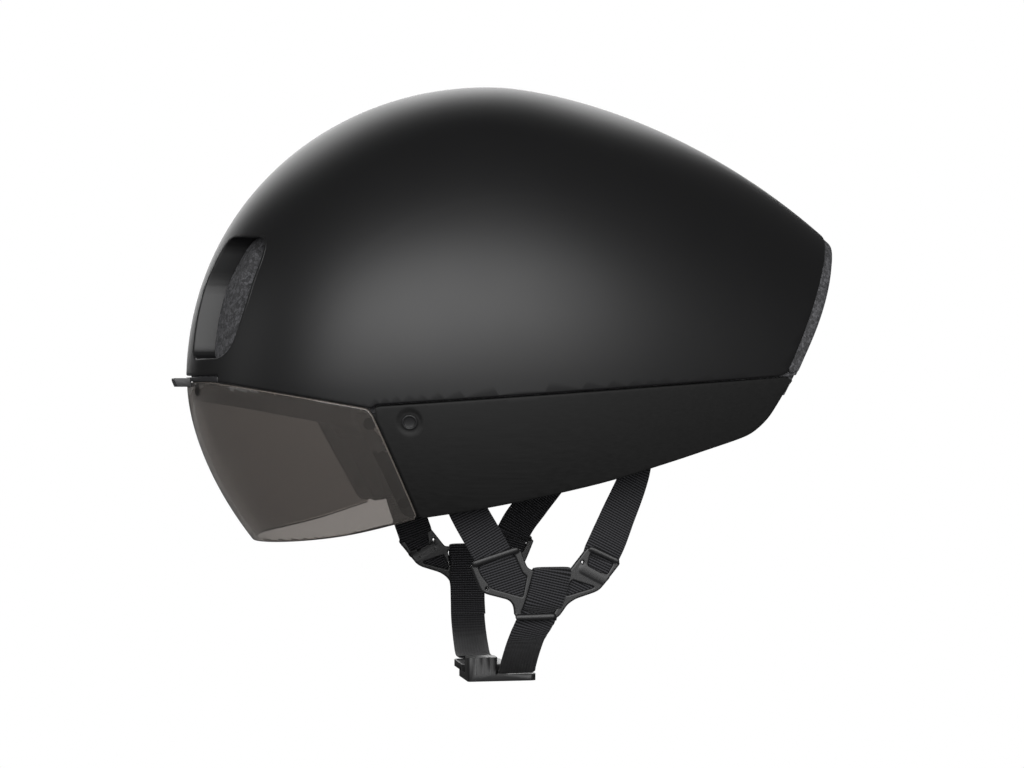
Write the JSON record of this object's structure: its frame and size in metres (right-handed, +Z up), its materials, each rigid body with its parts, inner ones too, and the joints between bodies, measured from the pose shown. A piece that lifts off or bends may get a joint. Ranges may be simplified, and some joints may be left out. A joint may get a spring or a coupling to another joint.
{
  "type": "aero time trial helmet",
  "caption": "Short-tailed aero cycling helmet with front vents, cut-off tail, magnetic smoke shield, ear covers, dial-fit cradle and chin straps.",
  "frame": {"origin": "centre of the head space on the symmetry plane, at brow level", "axes": "+X to the tail, +Y to the wearer's right, +Z up; the wearer faces -X"},
  "size_m": [0.3142, 0.2014, 0.2788],
  "materials": {
    "shell": "matte black moulded shell with a soft sheen",
    "foam": "dark grey bead foam, speckled",
    "cover": "matte black moulding with a fine grain",
    "stud": "black snap cap",
    "lens": "smoke grey clear polycarbonate, polished edges",
    "clip": "dark grey moulding",
    "metal": "plated steel",
    "moulding": "black nylon moulding",
    "buckle": "dark grey acetal, satin",
    "grip": "black rubber",
    "pad": "black brushed knit over foam",
    "webbing": "black woven nylon webbing"
  },
  "bodies": {
    "helmet": {"outer_shell": "shell", "foam_liner": "foam", "ear_cover_left": "cover", "ear_cover_right": "cover", "cover_studs": "stud", "cover_stud_inserts": "moulding", "shield_magnets": "metal", "brow_band": "moulding", "tail_rim_cover": "moulding", "brow_pad": "pad", "side_pad_left": "pad", "side_pad_right": "pad", "crown_pad": "pad", "pad_dots": "pad", "front_strap_left": "webbing", "rear_strap_left": "webbing", "strap_divider_left": "buckle", "chin_strap_left": "webbing", "front_strap_right": "webbing", "rear_strap_right": "webbing", "strap_divider_right": "buckle", "chin_strap_right": "webbing", "front_strap_anchors": "moulding", "rear_strap_anchors": "moulding", "buckle_body": "buckle", "body_magnets": "metal", "height_rail": "moulding"},
    "shield": {"shield_lens": "lens", "shield_clip": "clip", "shield_discs": "metal"},
    "cradle": {"cradle_yoke": "moulding", "height_strip": "moulding", "dial_housing": "moulding", "housing_cover": "moulding", "housing_screws": "metal", "nape_pads": "pad"},
    "dial": {"dial_knob": "grip", "dial_pinion": "moulding", "dial_screw": "metal"},
    "arm_left": {"side_arm_left": "moulding"},
    "arm_right": {"side_arm_right": "moulding"},
    "clasp": {"buckle_clasp": "buckle", "clasp_magnets": "metal"}
  },
  "joints": [
    {"name": "shield_pull", "type": "slide", "parent": "helmet", "child": "shield", "axis": [-1, 0, 0], "range_m": [0, 0.06]},
    {"name": "cradle_height", "type": "slide", "parent": "helmet", "child": "cradle", "axis": [0, 0, 1], "range_m": [-0.008, 0.007]},
    {"name": "dial_turn", "type": "hinge", "parent": "cradle", "child": "dial", "pos_m": [0.115, 0, -0.014], "axis": [-1, 0, 0], "range_deg": [0, 91.7]},
    {"name": "arm_left_slide", "type": "slide", "parent": "cradle", "child": "arm_left", "axis": [0, 1, 0], "range_m": [0, 0.008]},
    {"name": "arm_right_slide", "type": "slide", "parent": "cradle", "child": "arm_right", "axis": [0, -1, 0], "range_m": [0, 0.008]},
    {"name": "clasp_slide", "type": "slide", "parent": "helmet", "child": "clasp", "axis": [-1, 0, 0], "range_m": [0, 0.014], "deforming": ["chin_strap_left"]}
  ],
  "couplings": [
    {"joint": "dial_turn", "follows": "arm_left_slide", "rad_per_m": 200},
    {"joint": "arm_right_slide", "follows": "arm_left_slide", "ratio": 1}
  ]
}
